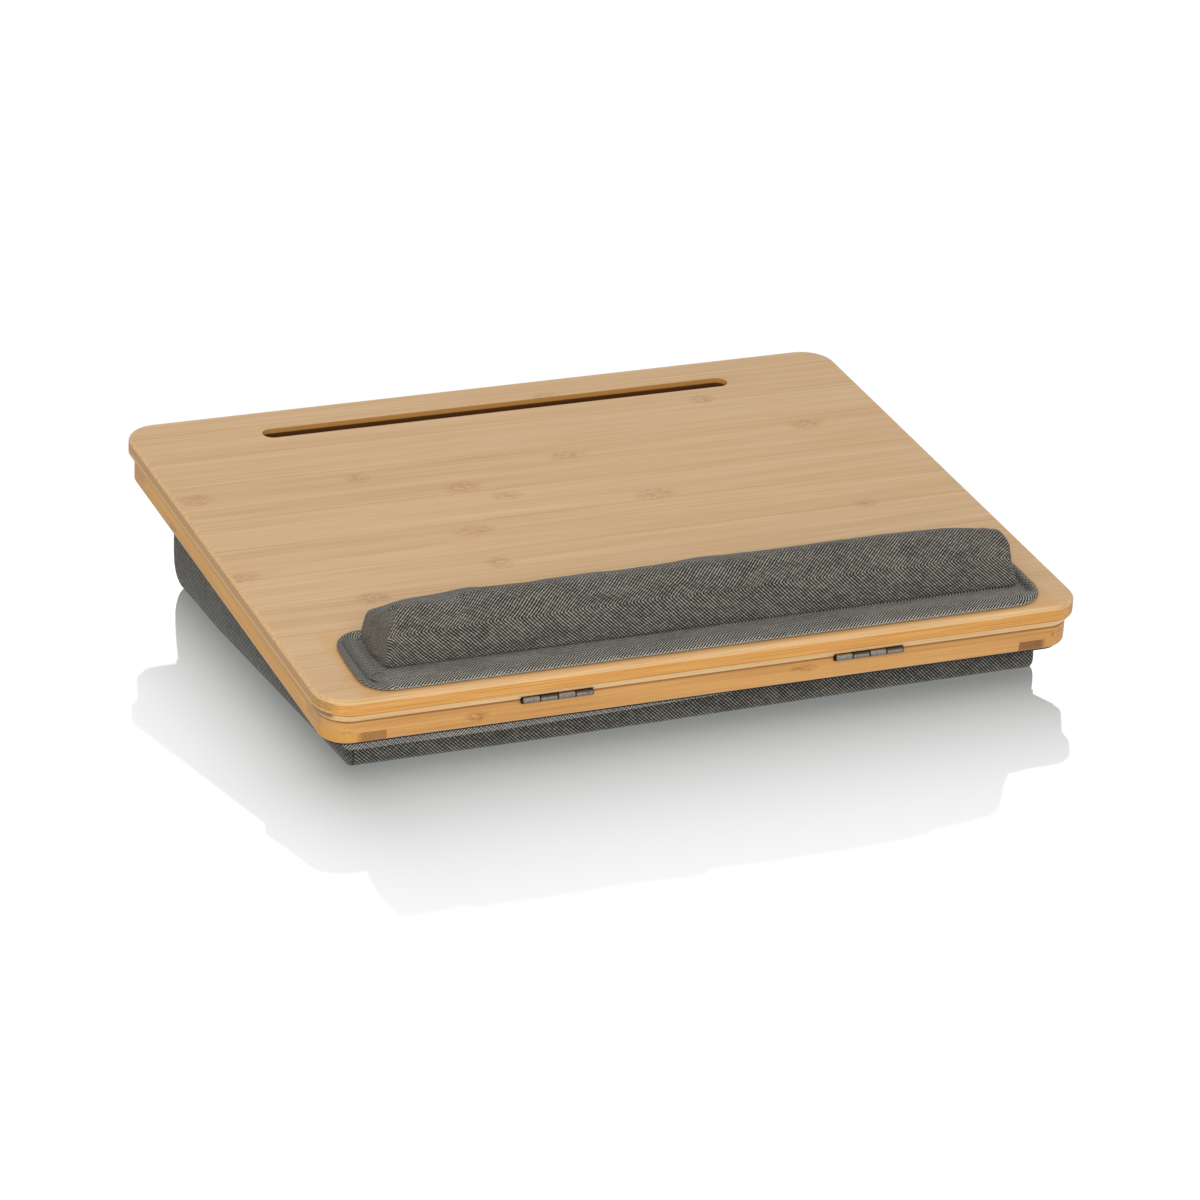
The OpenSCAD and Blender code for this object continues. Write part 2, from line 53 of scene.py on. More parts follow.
def board(points):
    """Rows of (u, v, w) in mm in the tilted board's frame, as points of the row frame in metres."""
    turned = np.asarray(points, float) * MM @ np.array(BOARD_TURN).T
    return turned + np.array(BOARD_ORIGIN)


def smooth(value, low, high):
    share = np.clip((np.asarray(value, float) - low) / (high - low), 0, 1)
    return share * share * (3 - 2 * share)


# ---------------------------------------------------------------- shader building


class Shader:
    """Adds nodes to a new material and links them."""

    def __init__(self, name):
        self.material = bpy.data.materials.new(name)
        self.material.use_nodes = True
        self.tree = self.material.node_tree
        self.tree.nodes.clear()
        self.output = self.tree.nodes.new("ShaderNodeOutputMaterial")

    def add(self, kind, settings=None, **inputs):
        node = self.tree.nodes.new(kind)
        for key, value in (settings or {}).items():
            setattr(node, key, value)
        for key, value in inputs.items():
            self.put(node, int(key[1:]) if key[0] == "i" and key[1:].isdigit() else key.replace("_", " "), value)
        return node

    def put(self, node, key, value):
        socket = node.inputs[key]
        if isinstance(value, bpy.types.NodeSocket):
            self.tree.links.new(value, socket)
        else:
            socket.default_value = value

    def math(self, operation, first, second=0.0, third=0.0):
        node = self.add("ShaderNodeMath", {"operation": operation}, i0=first, i1=second)
        self.put(node, 2, third)
        return node.outputs[0]

    def vector(self, operation, first, second=None, scale=None):
        node = self.add("ShaderNodeVectorMath", {"operation": operation}, i0=first)
        if second is not None:
            self.put(node, 1, second)
        if scale is not None:
            self.put(node, "Scale", scale)
        return node.outputs["Value"] if operation in ("LENGTH", "DOT_PRODUCT", "DISTANCE") else node.outputs[0]

    def step(self, value, low, high, to_low=0.0, to_high=1.0):
        node = self.add("ShaderNodeMapRange", {"interpolation_type": "SMOOTHSTEP"}, i0=value)
        for key, number in ((1, low), (2, high), (3, to_low), (4, to_high)):
            self.put(node, key, number)
        return node.outputs[0]

    def mix(self, share, first, second, kind="MIX"):
        node = self.add("ShaderNodeMix", {"data_type": "RGBA", "blend_type": kind})
        self.put(node, 0, share)
        self.put(node, 6, first if isinstance(first, bpy.types.NodeSocket) else (*first, 1.0))
        self.put(node, 7, second if isinstance(second, bpy.types.NodeSocket) else (*second, 1.0))
        return node.outputs[2]

    def noise(self, vector, scale, detail=3.0, rough=0.5, distort=0.0):
        node = self.add("ShaderNodeTexNoise", None, Vector=vector, Scale=scale, Detail=detail)
        self.put(node, "Roughness", rough)
        self.put(node, "Distortion", distort)
        return node.outputs[0]

    def ramp(self, value, stops):
        node = self.add("ShaderNodeValToRGB", None, i0=value)
        bar = node.color_ramp
        while len(bar.elements) < len(stops):
            bar.elements.new(0.5)
        for element, (place, colour) in zip(bar.elements, stops):
            element.position = place
            element.color = (*colour, 1.0)
        return node.outputs[0]

    def join(self, x, y, z=0.0):
        return self.add("ShaderNodeCombineXYZ", None, X=x, Y=y, Z=z).outputs[0]

    def split(self, vector):
        return self.add("ShaderNodeSeparateXYZ", None, i0=vector).outputs

    def board_place(self):
        """The board's (u, v, w) in mm, and the normal of the surface in the row frame."""
        source = self.add("ShaderNodeTexCoord")
        turn = Matrix.Rotation(-TILT, 3, "X")
        mapping = self.add("ShaderNodeMapping", {"vector_type": "POINT"}, Vector=source.outputs["Object"])
        mapping.inputs["Rotation"].default_value = (-TILT, 0.0, 0.0)
        mapping.inputs["Scale"].default_value = (1000.0, 1000.0, 1000.0)
        mapping.inputs["Location"].default_value = -(turn @ BOARD_ORIGIN) * 1000.0
        return mapping.outputs[0], source.outputs["Normal"]

    def finish(self, colour, rough, height=None, distance=0.0002, strength=0.6, **more):
        body = self.add("ShaderNodeBsdfPrincipled")
        self.put(body, "Base Color", colour)
        self.put(body, "Roughness", rough)
        for key, value in more.items():
            self.put(body, key.replace("_", " "), value)
        if height is not None:
            bump = self.add("ShaderNodeBump", None, Height=height, Strength=strength, Distance=distance)
            self.put(body, "Normal", bump.outputs[0])
        self.tree.links.new(body.outputs[0], self.output.inputs[0])
        return self.material


def srgb(red, green, blue):
    return tuple((c / 255 / 12.92) if c <= 10 else ((c / 255 + 0.055) / 1.055) ** 2.4 for c in (red, green, blue))


def dress(obj, material):
    obj.data.materials.clear()
    obj.data.materials.append(material)


# ---------------------------------------------------------------- bamboo

# the glued strips of the lid: where each starts along v, and how much lighter than the one before it is
LID_SEAMS = (
    (38.0, 0.31), (75.0, -0.42), (106.0, 0.37), (144.0, -0.26), (181.0, 0.33), (217.0, -0.38), (263.0, 0.30),
    (297.0, -0.34), (332.0, 0.25),
)
# the bamboo nodes on the lid, as (u, v)
LID_MARKS = (
    (-207, 247), (-215, 148), (-112, 251), (-59, 224), (-38, 207), (-72, 170), (-73, 129),
    (15, 248), (32, 326), (44, 187), (155, 145), (166, 252), (-154, 106), (-190, 20), (120, 300),
)
SLOT_FRONT, SLOT_REAR, SLOT_HALF = 313.6, 327.4, 148.0
RAIL_TONES = ((183, 127, 62), (205, 151, 85), (219, 171, 107))
# the left rail's tones are more saturated than the other rails': painted to cancel the pale sheen its side gets
LEFT_RAIL_TONES = ((186, 124, 38), (210, 151, 58), (224, 172, 80))


def grain(s, along, across, depth, seed):
    """Streaks that run along the first coordinate, and the marks' own fine streaks."""
    place = s.join(s.math("MULTIPLY", along, 0.012), s.math("MULTIPLY", across, 0.9), s.math("MULTIPLY", depth, 0.9))
    place = s.vector("ADD", place, (seed, seed * 0.7, seed * 1.3))
    fine = s.noise(place, 1.0, 4.0, 0.62)
    across, depth = s.math("MULTIPLY", across, 0.13), s.math("MULTIPLY", depth, 0.13)
    place = s.join(s.math("MULTIPLY", along, 0.004), across, depth)
    broad = s.noise(s.vector("ADD", place, (seed * 2.0, 3.0, seed)), 1.0, 2.0, 0.5)
    return fine, broad


def marks(s, along, across, depth, spots, long=10.0, wide=7.0):
    """Bamboo nodes: short smudges of fine dashes at the given places."""
    total = None
    for number, (u, v) in enumerate(spots):
        du = s.math("DIVIDE", s.math("SUBTRACT", along, float(u)), long * (1.0, 1.3, 0.8, 1.15)[number % 4])
        dv = s.math("DIVIDE", s.math("SUBTRACT", across, float(v)), wide * (1.0, 0.75, 0.9)[number % 3])
        reach = s.math("ADD", s.math("MULTIPLY", du, du), s.math("MULTIPLY", dv, dv))
        one = s.step(reach, 1.6, 0.0)
        total = one if total is None else s.math("MAXIMUM", total, one)
    place = s.join(s.math("MULTIPLY", along, 0.30), s.math("MULTIPLY", across, 1.1), s.math("MULTIPLY", depth, 1.1))
    dashes = s.step(s.noise(place, 1.0, 3.0, 0.6, 0.4), 0.38, 0.64)
    return s.math("MULTIPLY", total, dashes)


def bands(s, value, stops):
    """A colour by value: each stop is (where it ends, colour), with soft borders, from the highest place down."""
    colour = stops[0][1]
    for (edge, _), (_, following) in zip(stops, stops[1:]):
        colour = s.mix(s.step(value, edge + 0.25, edge - 0.25), colour, following)
    return colour


def make_lid_wood():
    s = Shader("bamboo_lid")
    place, normal = s.board_place()
    u, v, w = s.split(place)
    fine, broad = grain(s, u, v, w, 4.0)
    seam, strips = None, None
    for edge, lighter in LID_SEAMS:
        part = s.math("MULTIPLY", s.math("GREATER_THAN", v, edge), lighter)
        strips = part if strips is None else s.math("ADD", strips, part)
        near = s.step(s.math("ABSOLUTE", s.math("SUBTRACT", v, edge)), 0.7, 0.1)
        seam = near if seam is None else s.math("MAXIMUM", seam, near)
    tone = s.math("ADD", s.math("MULTIPLY", fine, 0.6), s.math("MULTIPLY", broad, 0.4))
    tone = s.math("ADD", tone, s.math("MULTIPLY", strips, 0.12))
    # the top's paler, less saturated tone is partly the bamboo's own and partly painted sheen over it
    wood = s.ramp(tone, ((0.30, srgb(198, 156, 105)), (0.50, srgb(213, 173, 124)), (0.72, srgb(225, 189, 144))))
    spots = marks(s, u, v, w, LID_MARKS)
    wood = s.mix(s.math("MULTIPLY", spots, 0.72), wood, srgb(178, 122, 76))
    wood = s.mix(s.math("MULTIPLY", seam, 0.22), wood, srgb(150, 104, 62))
    # the edge in painted light bands: a pale painted highlight on the rounding, the orange face, a thin dark band of
    # painted shade under it, and a pale bevel painted as lit from the floor below
    line_place = s.join(s.math("MULTIPLY", u, 0.014), s.math("MULTIPLY", v, 0.3), s.math("MULTIPLY", w, 2.4))
    lines = s.noise(line_place, 1.0, 4.0, 0.7)
    pale = s.ramp(lines, ((0.34, srgb(198, 148, 88)), (0.5, srgb(220, 178, 124)), (0.66, srgb(236, 202, 154))))
    orange = s.ramp(lines, ((0.34, srgb(186, 122, 48)), (0.5, srgb(213, 152, 75)), (0.66, srgb(228, 176, 102))))
    lit_bevel = s.ramp(lines, ((0.34, srgb(208, 158, 92)), (0.5, srgb(230, 190, 134)), (0.66, srgb(242, 210, 160))))
    edge_light_bands = bands(s, w, ((11.5, pale), (5.5, orange), (5.1, srgb(168, 112, 54)), (-9.0, lit_bevel)))
    top = s.step(w, 13.6, 14.2)
    nx, _, nz = s.split(normal)
    under = s.step(nz, -0.8, -0.95)
    outside = s.math("SUBTRACT", 1.0, under)
    wood = s.mix(s.math("MAXIMUM", top, under), edge_light_bands, wood)
    nx = s.math("ABSOLUTE", nx)
    side = s.math("MULTIPLY", s.step(nx, 0.45, 0.8), s.step(w, 14.3, 13.7))
    # the side faces show end grain in painted light bands: the pale painted highlight on the rounding, a darker band
    # of painted shade, and a paler lower band painted as lit from the floor
    end_place = s.join(s.math("MULTIPLY", v, 0.35), s.math("MULTIPLY", w, 1.2), s.math("MULTIPLY", u, 0.02))
    pores = s.noise(end_place, 1.6, 3.0, 0.7)
    shaded_round_end = s.ramp(pores, ((0.3, srgb(146, 100, 46)), (0.52, srgb(182, 136, 72)), (0.78, srgb(206, 164, 100))))
    floor_lit_low_end = s.ramp(pores, ((0.3, srgb(186, 138, 70)), (0.52, srgb(214, 168, 100)), (0.78, srgb(228, 188, 124))))
    end_wood = bands(s, w, ((12.0, pale), (7.2, shaded_round_end), (-9.0, floor_lit_low_end)))
    wood = s.mix(s.math("MULTIPLY", side, 0.85), wood, end_wood)
    # painted shade on the bevel at the left front corner, where it turns away under the lid's overhang
    corner = s.math("MULTIPLY", s.step(u, -211.5, -214.5), s.step(v, 17.0, 13.0))
    corner = s.math("MULTIPLY", corner, s.math("MULTIPLY", s.step(w, 6.4, 5.4), s.step(w, 1.8, 3.0)))
    wood = s.mix(s.math("MULTIPLY", corner, 0.85), wood, srgb(118, 80, 42))
    # painted shadow along the parting gap under the lid's edge, and a warm band round the wrist rest painted where
    # the rest's reflection would take the pale sheen off the lid
    wood = s.mix(s.math("MULTIPLY", s.step(w, 0.9, 0.3, 0.0, 0.6), outside), wood, srgb(128, 84, 40))
    rest_reflection_reach = s.math("MAXIMUM", s.math("SUBTRACT", s.math("ABSOLUTE", s.math("SUBTRACT", u, 3.4)), 198.0),
                    s.math("SUBTRACT", s.math("ABSOLUTE", s.math("SUBTRACT", v, 35.0)), 34.0))
    wood = s.mix(s.math("MULTIPLY", s.step(rest_reflection_reach, 6.5, 0.0, 0.0, 0.5), top), wood, srgb(214, 158, 84))
    # the slot: a light upper edge over a dark wall
    in_slot = s.math("MULTIPLY", s.math("GREATER_THAN", v, SLOT_FRONT), s.math("LESS_THAN", v, SLOT_REAR))
    in_slot = s.math("MULTIPLY", in_slot, s.math("LESS_THAN", s.math("ABSOLUTE", u), SLOT_HALF))
    in_slot = s.math("MULTIPLY", s.math("MULTIPLY", in_slot, outside), s.step(w, 14.38, 14.1))
    deep = s.step(w, 12.0, 11.0)
    slot_wood = s.mix(deep, srgb(206, 150, 80), srgb(92, 58, 30))
    wood = s.mix(in_slot, wood, slot_wood)
    wear = s.noise(place, 0.03, 2.0, 0.5)
    rough = s.math("ADD", 0.34, s.math("MULTIPLY", wear, 0.14))
    rough = s.math("ADD", rough, s.math("MULTIPLY", seam, 0.2))
    height = s.math("SUBTRACT", s.math("MULTIPLY", fine, 0.5), s.math("MULTIPLY", seam, 0.6))
    return s.finish(wood, rough, height, 0.00012, 0.35, IOR=1.45)


def make_rail_wood(name, along, seed, spots=(), dark=1.0, dots=(), tones=RAIL_TONES):
    """Rail bamboo: grain along u or v, and end grain on the flat faces across it.

    spots and dots are large and small marks, as (place along the rail, w): bamboo nodes, and on the front rail one
    dot of painted shade in the gap at the left hinge's end; dark is the strength of the end grain.
    """
    s = Shader(name)
    place, normal = s.board_place()
    u, v, w = s.split(place)
    run, cross = (u, v) if along == "u" else (v, u)
    fine, broad = grain(s, run, cross, w, seed)
    tone = s.math("ADD", s.math("MULTIPLY", fine, 0.6), s.math("MULTIPLY", broad, 0.4))
    wood = s.ramp(tone, [(stop, srgb(*shade)) for stop, shade in zip((0.30, 0.5, 0.72), tones)])
    if spots:
        found = marks(s, run, w, cross, spots, 6.5, 3.0)
        wood = s.mix(s.math("MULTIPLY", found, 0.85), wood, srgb(146, 92, 42))
    if dots:
        found = marks(s, run, w, cross, dots, 1.3, 1.5)
        wood = s.mix(s.math("MULTIPLY", found, 0.8), wood, srgb(120, 76, 36))
    nx, ny, _ = s.split(normal)
    level = s.math("SQRT", s.math("ADD", s.math("MULTIPLY", nx, nx), s.math("MULTIPLY", ny, ny)))
    upright = s.step(level, 0.3, 0.6)
    # painted shadow of the parting gap along the rails' top edge
    wood = s.mix(s.math("MULTIPLY", s.step(w, -1.2, -0.4, 0.0, 0.58), upright), wood, srgb(112, 70, 30))
    facing = s.math("ABSOLUTE", s.math("DIVIDE", ny if along == "v" else nx, s.math("MAXIMUM", level, 0.05)))
    # rounded corners cut the fibres aslant: short pores, hardly darker
    slant = s.math("MULTIPLY", s.step(facing, 0.25, 0.7, 0.0, 0.5), upright)
    pores = s.noise(s.vector("MULTIPLY", place, (0.5, 0.5, 2.2)), 1.4, 3.0, 0.7)
    slant_wood = s.ramp(pores, ((0.3, srgb(178, 122, 60)), (0.52, srgb(208, 152, 82)), (0.78, srgb(222, 174, 110))))
    wood = s.mix(slant, wood, slant_wood)
    end = s.math("MULTIPLY", s.step(facing, 0.955, 0.985), dark if along == "v" else 0.22)
    if along == "v":
        end = s.math("MULTIPLY", end, s.step(s.math("ABSOLUTE", u), 201.0, 196.0))
    end = s.math("MULTIPLY", end, upright)
    end_wood = s.ramp(pores, ((0.3, srgb(92, 56, 24)), (0.52, srgb(138, 90, 44)), (0.78, srgb(180, 130, 74))))
    wood = s.mix(end, wood, end_wood)
    rough = s.math("ADD", 0.36, s.math("MULTIPLY", broad, 0.12))
    return s.finish(wood, rough, fine, 0.0001, 0.3, IOR=1.45)


lid_wood = make_lid_wood()
dress(nodes["lid_board"], lid_wood)
# the front rail's dot at u -110 is painted shade in the gap at the left hinge's end, the others are bamboo nodes
dress(nodes["tray_front_rail"], make_rail_wood(
    "bamboo_front_rail", "u", 11.0, ((-133, -6.5), (54, -4.5), (-206, -8)),
    dots=((203.5, -5.0), (208.5, -3.8), (-110.0, -0.9))))
dress(nodes["tray_rear_rail"], make_rail_wood("bamboo_rear_rail", "u", 23.0, ((40, -6),)))
dress(nodes["tray_left_rail"], make_rail_wood(
    "bamboo_left_rail", "v", 37.0, ((262, -9),), 0.7, tones=LEFT_RAIL_TONES))
dress(nodes["tray_right_rail"], make_rail_wood("bamboo_right_rail", "v", 51.0, ((210, -7),), 0.95))

# ---------------------------------------------------------------- steel

# along u, in mm: the left end of the left hinge, the right hinge's distance from it, and a knuckle's length
HINGE_START, HINGE_SPACING, KNUCKLE = -108.9, 180.6, 10.0


def make_steel():
    """Plated steel, bright below: on top of the knuckles a painted reflection of the wood or a darker tone, and
    painted shade in the gaps between them and under them.
    """
    s = Shader("hinge_steel")
    source = s.add("ShaderNodeTexCoord").outputs["Object"]
    place, normal = s.board_place()
    u, v, _ = s.split(place)
    barrel = s.step(v, 1.2, 0.4)
    brushed = s.noise(s.vector("MULTIPLY", source, (400.0, 9000.0, 9000.0)), 1.0, 2.0, 0.6)
    spots = s.noise(source, 900.0, 3.0, 0.6)
    colour = s.mix(s.step(spots, 0.45, 0.75), srgb(152, 148, 140), srgb(108, 103, 96))
    # the place along a hinge, in mm from its left end
    at_right = s.math("MULTIPLY", s.math("GREATER_THAN", u, 0.0), HINGE_SPACING)
    run = s.math("SUBTRACT", s.math("ADD", u, -HINGE_START), at_right)
    up = s.split(normal)[2]
    even = s.math("GREATER_THAN", s.math("FLOORED_MODULO", run, KNUCKLE * 2), KNUCKLE)
    lower = s.math("MULTIPLY", even, 0.4)
    above = s.step(up, s.math("SUBTRACT", 0.62, lower), s.math("SUBTRACT", 0.86, lower))
    # on top of the first and third knuckles, a painted reflection of the wood above; on the second and fourth, a
    # darker top
    knuckle_top_tint = s.mix(even, srgb(168, 120, 64), srgb(74, 56, 38))
    colour = s.mix(s.math("MULTIPLY", above, s.math("MULTIPLY", barrel, 0.85)), colour, knuckle_top_tint)
    # painted shade on the knuckles' undersides
    colour = s.mix(s.math("MULTIPLY", s.step(up, -0.2, -0.6, 0.0, 0.5), barrel), colour, srgb(60, 52, 44))
    # painted shade in the gaps between the knuckles
    gap_shade = s.step(s.math("PINGPONG", run, KNUCKLE / 2), 0.62, 0.25)
    colour = s.mix(s.math("MULTIPLY", gap_shade, s.math("MULTIPLY", barrel, 0.92)), colour, srgb(30, 26, 22))
    rough = s.math("ADD", 0.22, s.math("MULTIPLY", brushed, 0.2))
    return s.finish(colour, rough, brushed, 0.00003, 0.4, Metallic=1.0)


steel = make_steel()
for name in nodes:
    if name.startswith("hinge_"):
        dress(nodes[name], steel)

# ---------------------------------------------------------------- fabrics

# the flat ends' part of the weave map starts about this far along, in mm
END_MAP = 1000.0
# the colour of painted shade in creases, grooves and valleys
CREASE_SHADE = srgb(28, 26, 23)


def make_cloth(name, dark, middle, light, rib, lean=1.0, fold=0.0, yarn=1.3, fleck=0.2, depth=0.00022, sheen=0.08,
               hem=0.0, flat=False, crease_shades=(), calm=None, ends=False):
    """Twill from the piece's UV map, which is in mm: diagonal ribs of short yarn floats, each with its own shade.

    dark, middle and light are the ramp's colours, rib and yarn the width of a rib and the length of a float in mm,
    and lean is 1 or -1 for the ribs' direction. With fold, the ribs turn back every fold mm, as in herringbone. With
    hem, a row of stitches runs hem mm from the outer edge. With flat, the weave follows the board's plane. The crease
    lines are painted shade in creases, grooves and valleys, as (start, end, width, strength) in the board's frame.
    Beyond the place calm along u, the cloth is smooth. With ends, the flat ends of the piece have a finer, browner
    weave.
    """
    s = Shader(name)
    uv = s.board_place()[0] if flat else s.add("ShaderNodeUVMap", {"uv_map": "weave"}).outputs[0]
    plain_x, plain_y, _ = s.split(uv)
    drift = s.add("ShaderNodeTexNoise", None, Vector=uv, Scale=0.03, Detail=1.0).outputs[1]
    uv = s.vector("ADD", uv, s.vector("SCALE", s.vector("SUBTRACT", drift, (0.5, 0.5, 0.5)), scale=1.8))
    if ends:
        at_end = s.math("GREATER_THAN", plain_x, END_MAP / 2)
        uv = s.vector("SCALE", uv, scale=s.math("MULTIPLY_ADD", at_end, 0.35, 1.0))
    x, y, _ = s.split(uv)
    folded = s.math("PINGPONG", y, fold) if fold else y
    across = s.math("DIVIDE", s.math("ADD", x, s.math("MULTIPLY", folded, lean)), rib)
    row = s.math("FLOOR", across)
    along = s.math("ADD", s.math("DIVIDE", folded, yarn), s.math("MULTIPLY", row, 0.5))
    cell = s.join(row, s.math("FLOOR", along), s.math("FLOOR", s.math("DIVIDE", y, fold)) if fold else 0.0)
    chance = s.add("ShaderNodeTexWhiteNoise", {"noise_dimensions": "3D"}, Vector=cell).outputs[0]
    round_x = s.math("ABSOLUTE", s.math("SINE", s.math("MULTIPLY", across, math.pi)))
    round_y = s.math("ABSOLUTE", s.math("SINE", s.math("MULTIPLY", along, math.pi)))
    floats = s.math("MULTIPLY_ADD", s.math("POWER", round_y, 0.7), 0.42, 0.58)
    height = s.math("MULTIPLY", s.math("POWER", round_x, 1.2), floats)
    fuzz = s.noise(uv, 3.1, 2.0, 0.6)
    shade = s.math("MULTIPLY", height, 0.95)
    shade = s.math("ADD", shade, s.math("MULTIPLY", s.math("SUBTRACT", chance, 0.5), fleck))
    cloudy = s.noise(s.vector("MULTIPLY", uv, (0.03, 0.09, 0.0)), 1.0, 3.0, 0.6)
    shade = s.math("ADD", shade, s.math("MULTIPLY", s.math("SUBTRACT", cloudy, 0.5), 0.30))
    shade = s.math("ADD", shade, s.math("MULTIPLY", s.math("SUBTRACT", fuzz, 0.5), 0.12))
    if hem:
        stitch = s.math("ABSOLUTE", s.math("SINE", s.math("MULTIPLY", plain_x, math.pi / 1.5)))
        line = s.step(s.math("ABSOLUTE", s.math("SUBTRACT", plain_y, hem)), 0.8, 0.3)
        shade = s.math("ADD", shade, s.math("MULTIPLY", s.math("MULTIPLY", line, stitch), 0.4))
    colour = s.ramp(shade, ((0.08, dark), (0.45, middle), (0.92, light)))
    if ends:
        colour = s.mix(s.math("MULTIPLY", at_end, 0.3), colour, srgb(100, 84, 66))
    if calm is not None:
        place_u = s.split(s.board_place()[0])[0]
        colour = s.mix(s.step(place_u, calm + 1.5, calm - 1.5, 0.0, 0.6), colour, srgb(88, 88, 81))
    # crease lines: painted shade in creases, grooves and valleys
    if crease_shades:
        u, v, _ = s.split(s.board_place()[0])
        for (u0, v0), (u1, v1), wide, strong in crease_shades:
            long = math.hypot(u1 - u0, v1 - v0)
            du, dv = (u1 - u0) / long, (v1 - v0) / long
            ru, rv = s.math("SUBTRACT", u, float(u0)), s.math("SUBTRACT", v, float(v0))
            ahead = s.math("ADD", s.math("MULTIPLY", ru, du), s.math("MULTIPLY", rv, dv))
            aside = s.math("ABSOLUTE", s.math("SUBTRACT", s.math("MULTIPLY", rv, du), s.math("MULTIPLY", ru, dv)))
            within = s.math("MULTIPLY", s.step(ahead, -wide, wide), s.step(ahead, long + wide, long - wide))
            line = s.math("MULTIPLY", s.step(aside, wide, 0.1), within)
            colour = s.mix(s.math("MULTIPLY", line, strong), colour, CREASE_SHADE)
    rough = s.math("ADD", 0.78, s.math("MULTIPLY", fuzz, 0.15))
    return s.finish(colour, rough, height, depth, 0.8, Sheen_Weight=sheen, Sheen_Roughness=0.5, IOR=1.4)


pad_cloth = make_cloth(
    "pad_fabric", srgb(16, 14, 11), srgb(58, 55, 49), srgb(156, 152, 140), 2.0, 1.0, 20.0, 1.6, 0.2, ends=True)
# the cushion's crease line is painted shade in the groove of its sewn front left corner seam
cushion_cloth = make_cloth(
    "cushion_fabric", srgb(11, 10, 8), srgb(39, 37, 33), srgb(132, 129, 119), 2.0, 1.0, 0.0, 1.6, 0.2,
    crease_shades=(((-196.0, 12.5), (-195.8, 18.5), 0.8, 0.85),))
# the tape's crease lines are painted shade: in the mitre folds at the front left, in the valley inside the rolled
# left end, and between the bar and the bead at the right end
tape_cloth = make_cloth(
    "binding_fabric", srgb(14, 13, 10), srgb(66, 63, 57), srgb(190, 186, 174), 1.9, -1.0, 0.0, 1.4, 0.1, 0.00015,
    hem=1.6, calm=-181.5, crease_shades=(
        ((-188.4, 15.4), (-185.6, 9.6), 0.7, 0.85), ((-187.2, 15.4), (-180.8, 17.4), 0.6, 0.8),
        ((-180.6, 18.6), (-180.2, 14.6), 0.6, 0.7), ((-189.0, 57.0), (-189.2, 13.0), 1.5, 0.5),
        ((195.6, 56.0), (195.2, 14.0), 3.4, 0.6)))
edge_cloth = make_cloth(
    "edge_tape", srgb(34, 32, 28), srgb(92, 89, 82), srgb(204, 200, 189), 1.7, -1.0, 0.0, 1.4, 0.1, 0.00015)
floor_cloth = make_cloth(
    "floor_fabric", srgb(20, 20, 19), srgb(38, 37, 35), srgb(62, 60, 57), 1.2, 1.0, 0.0, 1.0, 0.3, 0.0001, flat=True)

# ---------------------------------------------------------------- meshes from rings


def outline(x0, x1, y0, y1, radius, per_corner=16, counts=(130, 20)):
    """Points of a rounded rectangle, anticlockwise from the left end of its front edge.

    radius is one number, or one for each corner in the order front right, rear right, rear left, front left.
    """
    fr, rr, rl, fl = (radius,) * 4 if np.isscalar(radius) else radius
    corners = ((x1 - fr, y0 + fr, -90, fr), (x1 - rr, y1 - rr, 0, rr),
               (x0 + rl, y1 - rl, 90, rl), (x0 + fl, y0 + fl, 180, fl))
    sides = (((x0 + fl, y0), (x1 - fr, y0), counts[0]), ((x1, y0 + fr), (x1, y1 - rr), counts[1]),
             ((x1 - rr, y1), (x0 + rl, y1), counts[0]), ((x0, y1 - rl), (x0, y0 + fl), counts[1]))
    lists = []
    for (cx, cy, turn, r), (start, end, count) in zip(corners, sides):
        share = (np.arange(count) / count)[:, None]
        lists.append(np.array(start) + (np.array(end) - start) * share)
        angle = np.radians(turn + 90 * np.arange(per_corner) / per_corner)
        lists.append(np.stack([cx + r * np.cos(angle), cy + r * np.sin(angle)], 1))
    return np.concatenate(lists)


def ring_mesh(name, rings, weave=None, ends=None):
    """A closed mesh from rings of (u, v, w) in mm, with a UV map in mm named weave.

    weave gives the map's points as (rings, points + 1, 2). ends says how many bands at each end are flat ends, and
    gives their own points as (rings, points, 2).
    """
    count = len(rings[0])
    points = np.concatenate(rings)
    bands = len(rings) - 1
    faces = [
        (r * count + i, r * count + (i + 1) % count, (r + 1) * count + (i + 1) % count, (r + 1) * count + i)
        for r in range(bands) for i in range(count)
    ]
    faces.append(tuple(reversed(range(count))))
    faces.append(tuple(range(bands * count, (bands + 1) * count)))
    mesh = bpy.data.meshes.new(name)
    mesh.from_pydata([tuple(p) for p in points], [], faces)
    mesh.update()
    obj = bpy.data.objects.new(name, mesh)
    bpy.context.scene.collection.objects.link(obj)
    stack = np.stack(rings)
    if weave is None:
        ahead = np.linalg.norm(np.roll(stack, -1, 1) - stack, axis=2)
        run = np.concatenate([np.zeros((len(rings), 1)), np.cumsum(ahead, 1)], 1)[len(rings) // 2]
        rise = np.concatenate([np.zeros((1, count)), np.cumsum(np.linalg.norm(np.diff(stack, axis=0), axis=2), 0)])
        weave = np.stack([np.tile(run, (len(rings), 1)), np.column_stack([rise, rise[:, 0]])], 2)
    layer = mesh.uv_layers.new(name="weave")
    for number, polygon in enumerate(mesh.polygons):
        corner = [mesh.loops[k].vertex_index for k in polygon.loop_indices]
        band, i = divmod(number, count)
        whole = band >= bands
        flat = ends is not None and (whole or min(band, bands - 1 - band) < ends[0])
        for k, vertex in zip(polygon.loop_indices, corner):
            ring, j = divmod(vertex, count)
            if flat:
                layer.data[k].uv = ends[1][ring, j]
            elif whole:
                layer.data[k].uv = points[vertex][:2]
            else:
                layer.data[k].uv = weave[ring, count if i == count - 1 and j == 0 else j]
        polygon.use_smooth = not whole
    return obj


def to_board(obj):
    co = np.array([v.co for v in obj.data.vertices], float)
    obj.data.vertices.foreach_set("co", board(co).astype(np.float32).ravel())
    obj.data.update()


def lumps(points, size, seed):
    """Smooth random values between about -1 and 1 at each point."""
    shift = Vector((seed * 13.7, seed * 7.1, seed * 3.3))
    return np.array([noise.noise(Vector(p) / size + shift) for p in points])


